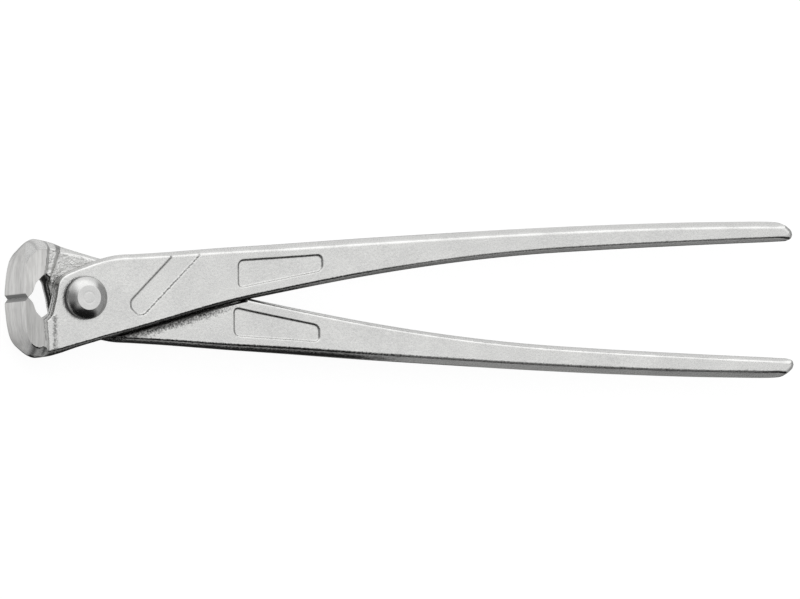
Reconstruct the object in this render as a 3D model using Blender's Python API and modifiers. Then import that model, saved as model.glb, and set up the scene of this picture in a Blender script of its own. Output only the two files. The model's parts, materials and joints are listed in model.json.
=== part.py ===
# Rebar tying pliers, closed: two forged levers that cross at one rivet.
# Metres, +Z along the pivot, +X towards the handle tips, +Y towards the front lever's handle.
# Both levers are the same forging. The rear one is the front one turned over about X.
import math

import bmesh
import bpy
from mathutils import Vector

# Overall sizes
overall_length = 0.250
jaw_reach = 0.02045            # pivot to the ground front of the jaws
head_height = 0.0358           # across both jaws, closed
jaw_width = 0.0192             # length of the cutting edges, along the pivot
handle_spread = 0.0476         # across both handles, closed

# Lever sections
plate_thickness = 0.0055       # one lever where the two lie on each other
tip_thickness = 0.0084         # handle at its tip
joint_band = 0.0013            # width of the rounded and drafted band round the joint plate
hollow_band = 0.0008           # the same at the wire hollow
outer_band = 0.0020            # the same along a handle's outer edge
inner_band = 0.0016            # the same along a handle's inner edge
tip_rounding = 0.0042          # length over which a handle tip rounds off

# Cutting edges
edge_setback = 0.0009          # cutting edge behind the jaw's front
edge_bevel = 0.0012            # height of the ground bevel at the edge

# Seat of the other lever
running_gap = 0.0003           # between any two pieces
shoulder_clearance = 0.0005    # seat's edge to the other lever's edge
shoulder_lean = 0.0005         # how far the shoulder's wall leans back over its height
shoulder_fall = 0.0030         # width of the band by which the handle's face falls to the shoulder
shoulder_fall_depth = 0.0010   # depth of that band at the shoulder
shoulder_start = 0.0112        # from the pivot along X, where the seat's edge begins
shoulder_end = 0.0690          # the same, where it has run out past the handle's inner edge
cut_overrun = 0.0020           # how far every cut runs past the metal

# Bare recessed panels
panel_depth = 0.0004
panel_start = 0.0485           # from the pivot, along X
panel_end = 0.0762
panel_margin = 0.0039          # panel to the handle's edges
panel_corner = 0.0020
corner_limit_share = 0.42      # of a panel's height, the largest corner radius
slot_width = 0.0065            # slanted panel beside the rivet
slot_place = 0.0172            # its round end, from the pivot along X
slot_drop = 0.0025             # the same, below the pivot
slot_angle = math.radians(45)

# Rivet
shank_diameter = 0.0080
head_diameter = 0.01306
head_flat_diameter = 0.0074
head_inset = 0.00015           # head's top below the jaws' sides
head_flank_angle = math.radians(35)
head_side_share = 0.45         # height of the head's upright side, as a share of the head

# Derived sizes
handle_reach = overall_length - jaw_reach
head_half = head_height / 2
jaw_half = jaw_width / 2
spread_half = handle_spread / 2
half_gap = running_gap / 2
pivot_place = Vector((jaw_reach - overall_length / 2, 0, jaw_half))

# Joint plate, from inside the jaw to the handle's root.
# Each row: edge beside the hollow and the recess, then edge beside the jaw's back;
# along X as shares of the jaw's reach, across as shares of half the head's height.
plate_rows_share = [
    (-0.631, -0.374, -0.631, -0.989),
    (-0.567, -0.341, -0.562, -0.978),
    (-0.518, -0.257, -0.489, -0.955),
    (-0.491, -0.140, -0.416, -0.930),
    (-0.460, 0.000, -0.333, -0.897),
    (-0.435, 0.168, -0.244, -0.860),
    (-0.406, 0.279, -0.152, -0.827),
    (-0.323, 0.385, -0.049, -0.793),
    (-0.161, 0.475, 0.059, -0.760),
    (0.000, 0.547, 0.166, -0.729),
    (0.244, 0.648, 0.318, -0.687),
]

# Handle, from its root to its tip.
# Each row: outer edge, then inner edge;
# along X as shares of the handle's reach, across as shares of half the spread.
handle_rows_share = [
    (0.048, 0.544, 0.052, -0.462),
    (0.078, 0.561, 0.081, -0.389),
    (0.122, 0.588, 0.122, -0.279),
    (0.196, 0.643, 0.196, -0.088),
    (0.283, 0.697, 0.283, 0.084),
    (0.397, 0.773, 0.397, 0.286),
    (0.510, 0.838, 0.510, 0.447),
    (0.619, 0.897, 0.619, 0.559),
    (0.732, 0.947, 0.732, 0.630),
    (0.845, 0.983, 0.845, 0.685),
    (0.950, 1.000, 0.950, 0.733),
    (0.982, 0.996, 0.985, 0.750),
    (0.996, 0.924, 0.997, 0.777),
    (1.000, 0.866, 1.000, 0.815),
]
steps_between_rows = 3
parting_start_share = 0.06     # from here to the end share the parting line moves to mid-handle
parting_end_share = 0.20
hollow_end_share = 0.41        # of the jaw's reach, from the pivot back to the hollow's edge
hollow_fade_share = 1.10       # the same, over which its band widens to the plate's
band_end_share = 0.40          # where the edge bands reach the handle's widths
draft_width_share = 0.4        # of an edge band, taken by its drafted side
draft_height_share = 0.8       # of the height from parting line to face, the same
tip_squeeze_share = 0.45       # of the thickness, lost at the very tip
shoulder_slope_share = 0.3     # shoulder's slope in plan

# Jaw outlines, as shares of the jaw's reach and of half the head's height.
# Ground front and forged outer side, at the middle of the jaw's width and at its sides.
front_middle_share = [
    (0.988, 0.251), (0.971, 0.436), (0.944, 0.575), (0.910, 0.698), (0.875, 0.816),
    (0.841, 0.916), (0.797, 0.966), (0.729, 1.000), (0.631, 0.997),
]
front_side_share = [
    (0.985, 0.246), (0.971, 0.425), (0.954, 0.547), (0.936, 0.615), (0.895, 0.693),
    (0.846, 0.749), (0.797, 0.793), (0.733, 0.816), (0.680, 0.804),
]
# Back of the jaw, from its outer side down to the wire hollow, at four depths.
pad_back_share = [
    (0.650, 0.771), (0.660, 0.682), (0.670, 0.592), (0.682, 0.497), (0.694, 0.399),
    (0.697, 0.391), (0.699, 0.385), (0.704, 0.380),
]
ramp_foot_share = [
    (0.557, 0.810), (0.557, 0.726), (0.567, 0.603), (0.582, 0.492), (0.601, 0.385),
    (0.610, 0.368), (0.622, 0.364), (0.640, 0.362),
]
step_top_share = [
    (0.421, 0.793), (0.435, 0.721), (0.477, 0.603), (0.513, 0.480), (0.535, 0.385),
    (0.553, 0.368), (0.587, 0.364), (0.631, 0.362),
]
step_foot_share = [
    (0.254, 0.838), (0.289, 0.754), (0.333, 0.626), (0.377, 0.475), (0.411, 0.397),
    (0.469, 0.324), (0.548, 0.330), (0.631, 0.358),
]
# Hollow's side of the jaw, from its deepest corner back to the cutting edge.
lip_share = [
    (0.714, 0.374), (0.780, 0.304), (0.826, 0.246), (0.856, 0.173), (0.880, 0.092),
    (0.917, 0.042),
]
jaw_round_power = 1.5


def smooth_step(value):
    # Eases from 0 to 1, flat at both ends.
    value = min(max(value, 0), 1)
    return value * value * (3 - 2 * value)


def smooth_rows(rows, steps):
    # Catmull-Rom curve through rows of equal length, with the given steps from row to row.
    result = []
    last = len(rows) - 1
    for index in range(last):
        before, start = rows[max(index - 1, 0)], rows[index]
        end, after = rows[index + 1], rows[min(index + 2, last)]
        for step in range(steps):
            t = step / steps
            result.append(tuple(
                0.5 * (2 * b + (c - a) * t + (2 * a - 5 * b + 4 * c - d) * t * t
                       + (3 * b - a - 3 * c + d) * t ** 3)
                for a, b, c, d in zip(before, start, end, after)))
    result.append(tuple(rows[last]))
    return result


def lever_rows():
    # Opposite edge points of the whole lever, in metres, from the jaw to the handle's tip.
    plate = [(xu * jaw_reach, yu * head_half, xl * jaw_reach, yl * head_half)
             for xu, yu, xl, yl in plate_rows_share]
    handle = [(xu * handle_reach, yu * spread_half, xl * handle_reach, yl * spread_half)
              for xu, yu, xl, yl in handle_rows_share]
    return smooth_rows(plate + handle, steps_between_rows)


def lever_half_thickness(x):
    # Half the handle's thickness: the plate's thickness at the joint, thinner to the tip.
    share = max(x / handle_reach, 0)
    flat = plate_thickness + (tip_thickness / 2 - plate_thickness) * share
    into_tip = min(max((x - handle_reach + tip_rounding) / tip_rounding, 0), 1)
    return flat * (1 - tip_squeeze_share * into_tip ** 2)


def parting_height(x):
    # The forging's widest line: mid-plate at the joint, on the tool's middle plane further out.
    way = (x / handle_reach - parting_start_share) / (parting_end_share - parting_start_share)
    return plate_thickness / 2 * (1 - smooth_step(way))


def edge_bands(x):
    # Widths of the rounded bands at the outer and the inner edge.
    along = smooth_step(x / handle_reach / band_end_share)
    past_hollow = smooth_step((x / jaw_reach + hollow_end_share) / hollow_fade_share)
    start = hollow_band + (joint_band - hollow_band) * past_hollow
    return start + (outer_band - start) * along, joint_band + (inner_band - joint_band) * along


def mesh_from_rings(name, rings):
    # Closed skin over rings of equal length, with flat ends.
    bm = bmesh.new()
    loops = [[bm.verts.new(point) for point in ring] for ring in rings]
    count = len(loops[0])
    for first, second in zip(loops, loops[1:]):
        for i in range(count):
            j = (i + 1) % count
            bm.faces.new((first[i], first[j], second[j], second[i]))
    bm.faces.new(list(reversed(loops[0])))
    bm.faces.new(loops[-1])
    bmesh.ops.remove_doubles(bm, verts=bm.verts, dist=running_gap / 100)
    bmesh.ops.recalc_face_normals(bm, faces=bm.faces)
    mesh = bpy.data.meshes.new(name)
    bm.to_mesh(mesh)
    bm.free()
    return mesh


def add_object(name, mesh, collection):
    item = bpy.data.objects.new(name, mesh)
    collection.objects.link(item)
    return item


def add_cutter(name, mesh):
    # A shape that only takes part in Booleans.
    item = add_object(name, mesh, cutters)
    item.hide_render = True
    item.display_type = 'WIRE'
    return item


def combine(item, other, operation):
    change = item.modifiers.new(other.name, 'BOOLEAN')
    change.operation = operation
    change.solver = 'EXACT'
    change.object = other


def band_profile(band, parting, face):
    # Distances from the edge and heights of one half of a section, parting line to face.
    shoulder = parting + draft_height_share * (face - parting)
    return [(draft_width_share * band, shoulder), (band, face)]


def lever_section(row):
    # Ten-sided section between two opposite edge points.
    outer, inner = Vector(row[:2]), Vector(row[2:])
    middle_x = (outer.x + inner.x) / 2
    across = (outer - inner).normalized()
    parting = parting_height(middle_x)
    thickness = lever_half_thickness(middle_x)
    outer_width, inner_width = edge_bands(middle_x)
    points = [(*inner, parting)]
    for distance, height in band_profile(inner_width, parting, thickness):
        points.append((*(inner + across * distance), height))
    for distance, height in reversed(band_profile(outer_width, parting, thickness)):
        points.append((*(outer - across * distance), height))
    points.append((*outer, parting))
    for distance, height in band_profile(outer_width, parting, -thickness):
        points.append((*(outer - across * distance), height))
    for distance, height in reversed(band_profile(inner_width, parting, -thickness)):
        points.append((*(inner + across * distance), height))
    return points


def make_bar():
    # Joint plate and handle in one skin.
    rings = [lever_section(row) for row in lever_rows()]
    return add_object('front_lever', mesh_from_rings('lever_bar', rings), parts)


def jaw_ring(height, back_share):
    # Jaw outline at one height. The forged outer side draws in towards the jaw's sides.
    drawn_in = (abs(height) / jaw_half) ** jaw_round_power
    front = [((1 - drawn_in) * a[0] + drawn_in * b[0], (1 - drawn_in) * a[1] + drawn_in * b[1])
             for a, b in zip(front_middle_share, front_side_share)]
    shares = front + back_share + lip_share
    outline = [(-x * jaw_reach, -y * head_half) for x, y in shares]
    edge = [(edge_setback - jaw_reach, -half_gap), (-jaw_reach, -edge_bevel)]
    return [(x, y, height) for x, y in edge + outline]


def make_jaw():
    # Jaw as a loft through outlines at rising heights: pad, ramp, step beside the seat, pad.
    strip = plate_thickness
    covered = plate_thickness - running_gap
    rings = [
        jaw_ring(-jaw_half, pad_back_share),
        jaw_ring(-strip, ramp_foot_share),
        jaw_ring(-strip, step_top_share),
        jaw_ring(half_gap, step_foot_share),
        jaw_ring(plate_thickness / 2, ramp_foot_share),
        jaw_ring(covered, ramp_foot_share),
        jaw_ring(jaw_half, pad_back_share),
    ]
    return add_cutter('jaw_body', mesh_from_rings('jaw_body', rings))


def make_seat():
    # Space for the other lever behind the joint plate. The handle's face falls gently towards
    # the steep shoulder that bounds it.
    low = -head_half - cut_overrun
    high = head_half + cut_overrun
    left = -jaw_reach
    shoulder = [Vector((x, shoulder_clearance - y)) for _, _, x, y in lever_rows()
                if shoulder_start < x < shoulder_end]
    levels = [
        (half_gap, 0),
        (shoulder_fall_depth - plate_thickness, shoulder_lean),
        (-plate_thickness, shoulder_lean + shoulder_fall),
        (-plate_thickness - cut_overrun, shoulder_lean + shoulder_fall),
    ]
    rings = []
    for depth, widening in levels:
        line = [point + Vector((widening * shoulder_slope_share, widening)) for point in shoulder]
        ring = [(left, low), (line[-1].x, low)]
        ring += [tuple(point) for point in reversed(line)]
        ring += [(line[0].x, high), (left, high)]
        rings.append([(x, y, depth) for x, y in ring])
    return add_cutter('seat_space', mesh_from_rings('seat_space', rings))


def make_bore():
    bm = bmesh.new()
    radius = shank_diameter / 2 + running_gap
    bmesh.ops.create_cone(bm, cap_ends=True, segments=48, radius1=radius, radius2=radius,
                          depth=2 * (plate_thickness + cut_overrun))
    mesh = bpy.data.meshes.new('rivet_bore')
    bm.to_mesh(mesh)
    bm.free()
    return add_cutter('rivet_bore', mesh)


def flat_cutter(name, outline, low, high):
    # Flat outline drawn as a curve, filled and thickened, then made a mesh.
    curve = bpy.data.curves.new(name, 'CURVE')
    curve.dimensions = '2D'
    curve.fill_mode = 'BOTH'
    curve.extrude = (high - low) / 2
    spline = curve.splines.new('POLY')
    spline.points.add(len(outline) - 1)
    for point, (x, y) in zip(spline.points, outline):
        point.co = (x, y, 0, 1)
    spline.use_cyclic_u = True
    drawn = bpy.data.objects.new(name, curve)
    cutters.objects.link(drawn)
    drawn.location.z = (high + low) / 2
    bpy.context.view_layer.update()
    shape = drawn.evaluated_get(bpy.context.evaluated_depsgraph_get())
    mesh = bpy.data.meshes.new_from_object(shape)
    place = drawn.matrix_world.copy()
    bpy.data.objects.remove(drawn)
    bm = bmesh.new()
    bm.from_mesh(mesh)
    bmesh.ops.remove_doubles(bm, verts=bm.verts, dist=running_gap / 100)
    bm.to_mesh(mesh)
    bm.free()
    item = add_cutter(name, mesh)
    item.matrix_world = place
    return item


def rounded(corners, radius, steps=4):
    # Outline through the given corners, each rounded by an arc of the given radius.
    outline = []
    for index, corner in enumerate(corners):
        before = (corners[index - 1] - corner).normalized()
        after = (corners[(index + 1) % len(corners)] - corner).normalized()
        half_angle = before.angle(after) / 2
        centre = corner + (before + after).normalized() * radius / math.sin(half_angle)
        start = corner + before * radius / math.tan(half_angle) - centre
        end = corner + after * radius / math.tan(half_angle) - centre
        for step in range(steps + 1):
            spoke = start.lerp(end, step / steps).normalized() * radius
            outline.append(tuple(centre + spoke))
    return outline


def edge_at(rows, x, column):
    # Height across of an edge curve at a place along X. Column 0 is outer, 2 is inner.
    for first, second in zip(rows, rows[1:]):
        if first[column] <= x <= second[column]:
            share = (x - first[column]) / (second[column] - first[column])
            return first[column + 1] + share * (second[column + 1] - first[column + 1])
    return rows[-1][column + 1]


def make_panels():
    # Bare recessed panels: one on each face of the handle, and a slanted one beside the rivet.
    rows = lever_rows()
    corners = [Vector((panel_start, edge_at(rows, panel_start, 2) + panel_margin)),
               Vector((panel_end, edge_at(rows, panel_end, 2) + panel_margin)),
               Vector((panel_end, edge_at(rows, panel_end, 0) - panel_margin)),
               Vector((panel_start, edge_at(rows, panel_start, 0) - panel_margin))]
    short_end = (corners[2] - corners[1]).length
    outline = rounded(corners, min(panel_corner, short_end * corner_limit_share))
    floor = lever_half_thickness(panel_end) - panel_depth
    over = plate_thickness + cut_overrun
    front_panel = flat_cutter('front_panel', outline, floor, over)
    back_panel = flat_cutter('back_panel', outline, -over, -floor)
    along = Vector((math.cos(slot_angle), math.sin(slot_angle)))
    side = Vector((-along.y, along.x)) * slot_width / 2
    end = Vector((slot_place, -slot_drop))
    far = end + along * head_height
    slot_corners = [end - along * slot_width / 2 + side, end - along * slot_width / 2 - side,
                    far - side, far + side]
    slot_outline = rounded(slot_corners, slot_width * corner_limit_share)
    slot_floor = lever_half_thickness(slot_place) - panel_depth
    slot = flat_cutter('slanted_panel', slot_outline, slot_floor, over)
    return [front_panel, back_panel, slot]


def rivet_profile():
    # Half outline of the rivet, from the top on the axis round the outside to the bottom.
    shank = shank_diameter / 2
    radius = head_diameter / 2
    flat = head_flat_diameter / 2
    base = plate_thickness + running_gap
    top = jaw_half - head_inset
    side = base + (top - base) * head_side_share
    head = [(0, top), (flat, top)]
    steps = 5
    for step in range(1, steps + 1):
        turn = head_flank_angle + (math.pi / 2 - head_flank_angle) * step / steps
        spread = (math.sin(turn) - math.sin(head_flank_angle)) / (1 - math.sin(head_flank_angle))
        drop = 1 - math.cos(turn) / math.cos(head_flank_angle)
        head.append((flat + (radius - flat) * spread, top - (top - side) * drop))
    head += [(radius, base), (shank, base)]
    return head + [(x, -z) for x, z in reversed(head)]


def make_rivet():
    # Turned shape: a shank with a flat-topped round head at each end.
    bm = bmesh.new()
    points = [bm.verts.new((x, 0, z)) for x, z in rivet_profile()]
    for first, second in zip(points, points[1:]):
        bm.edges.new((first, second))
    mesh = bpy.data.meshes.new('joint_rivet')
    bm.to_mesh(mesh)
    bm.free()
    rivet = add_object('joint_rivet', mesh, parts)
    screw = rivet.modifiers.new('turning', 'SCREW')
    screw.axis = 'Z'
    screw.steps = 48
    screw.render_steps = 48
    screw.use_merge_vertices = True
    screw.merge_threshold = running_gap / 100
    return rivet


def steel(name, colour, roughness):
    material = bpy.data.materials.new(name)
    material.use_nodes = True
    shader = material.node_tree.nodes['Principled BSDF']
    shader.inputs['Base Color'].default_value = (*colour, 1)
    shader.inputs['Metallic'].default_value = 1
    shader.inputs['Roughness'].default_value = roughness
    return material


def bake(item):
    # Replaces an object's mesh by its finished shape and drops its modifiers.
    bpy.context.view_layer.update()
    shape = item.evaluated_get(bpy.context.evaluated_depsgraph_get())
    mesh = bpy.data.meshes.new_from_object(shape)
    item.modifiers.clear()
    item.data = mesh
    mesh.shade_smooth()
    mesh.set_sharp_from_angle(angle=math.radians(30))


def new_collection(name):
    collection = bpy.data.collections.new(name)
    bpy.context.scene.collection.children.link(collection)
    return collection


for leftover in list(bpy.data.objects):
    bpy.data.objects.remove(leftover)
parts = new_collection('rebar_tying_pliers')
cutters = new_collection('cutters')

front_lever = make_bar()
combine(front_lever, make_seat(), 'DIFFERENCE')
combine(front_lever, make_jaw(), 'UNION')
combine(front_lever, make_bore(), 'DIFFERENCE')
for panel in make_panels():
    combine(front_lever, panel, 'DIFFERENCE')
bake(front_lever)
front_lever.data.name = 'lever_forging'

rear_lever = add_object('rear_lever', front_lever.data, parts)
rear_lever.rotation_euler.x = math.pi
joint_rivet = make_rivet()

zinc = steel('zinc_plated_steel', (0.70, 0.70, 0.68), 0.35)
rivet_zinc = steel('zinc_plated_rivet', (0.66, 0.66, 0.65), 0.32)
front_lever.data.materials.append(zinc)
joint_rivet.data.materials.append(rivet_zinc)

pivot = bpy.data.objects.new('pivot_axis', None)
pivot.empty_display_size = head_half
parts.objects.link(pivot)
pivot.location = pivot_place
for piece in (front_lever, rear_lever, joint_rivet):
    piece.parent = pivot
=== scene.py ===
# Rebar tying pliers: two bright zinc-plated forgings with ground jaws, on one rivet.
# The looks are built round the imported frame. Metres, +Z along the pivot, +X to the handle tips.
import json
import math

import bmesh
import bpy
import numpy as np
from mathutils import Matrix, Vector


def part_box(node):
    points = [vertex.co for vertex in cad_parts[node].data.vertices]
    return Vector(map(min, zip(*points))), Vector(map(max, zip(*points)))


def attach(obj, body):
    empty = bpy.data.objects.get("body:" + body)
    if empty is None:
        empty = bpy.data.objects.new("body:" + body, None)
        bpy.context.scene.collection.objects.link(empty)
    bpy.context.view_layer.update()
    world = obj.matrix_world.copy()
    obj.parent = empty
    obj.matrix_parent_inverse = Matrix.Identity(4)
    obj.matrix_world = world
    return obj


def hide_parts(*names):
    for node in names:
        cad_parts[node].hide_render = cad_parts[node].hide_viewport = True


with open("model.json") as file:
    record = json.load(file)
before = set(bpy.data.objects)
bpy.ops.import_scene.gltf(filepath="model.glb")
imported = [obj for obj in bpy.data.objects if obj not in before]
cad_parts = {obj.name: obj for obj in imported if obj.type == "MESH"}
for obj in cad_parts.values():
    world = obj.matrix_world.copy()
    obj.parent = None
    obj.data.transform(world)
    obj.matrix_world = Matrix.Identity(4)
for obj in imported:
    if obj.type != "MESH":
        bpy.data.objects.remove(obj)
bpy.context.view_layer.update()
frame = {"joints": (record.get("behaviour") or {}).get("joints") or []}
mm = 0.001
hair = 0.001 * mm               # smallest length that anything is divided by

# Reaches of one lever, read from the frame, all from the pivot
pivot = np.array(frame["joints"][0]["pos_m"])
leverLow, leverHigh = (np.array(corner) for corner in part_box("front_lever"))
jawReach = (pivot - leverLow)[0]
headHalf = (pivot - leverLow)[1]
handleReach, spreadHalf, jawHalf = leverHigh - pivot
rivetHigh = np.array(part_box("joint_rivet")[1]) - pivot
print("frame loaded, jaws reach", round(jawReach / mm, 2), "mm")

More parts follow.
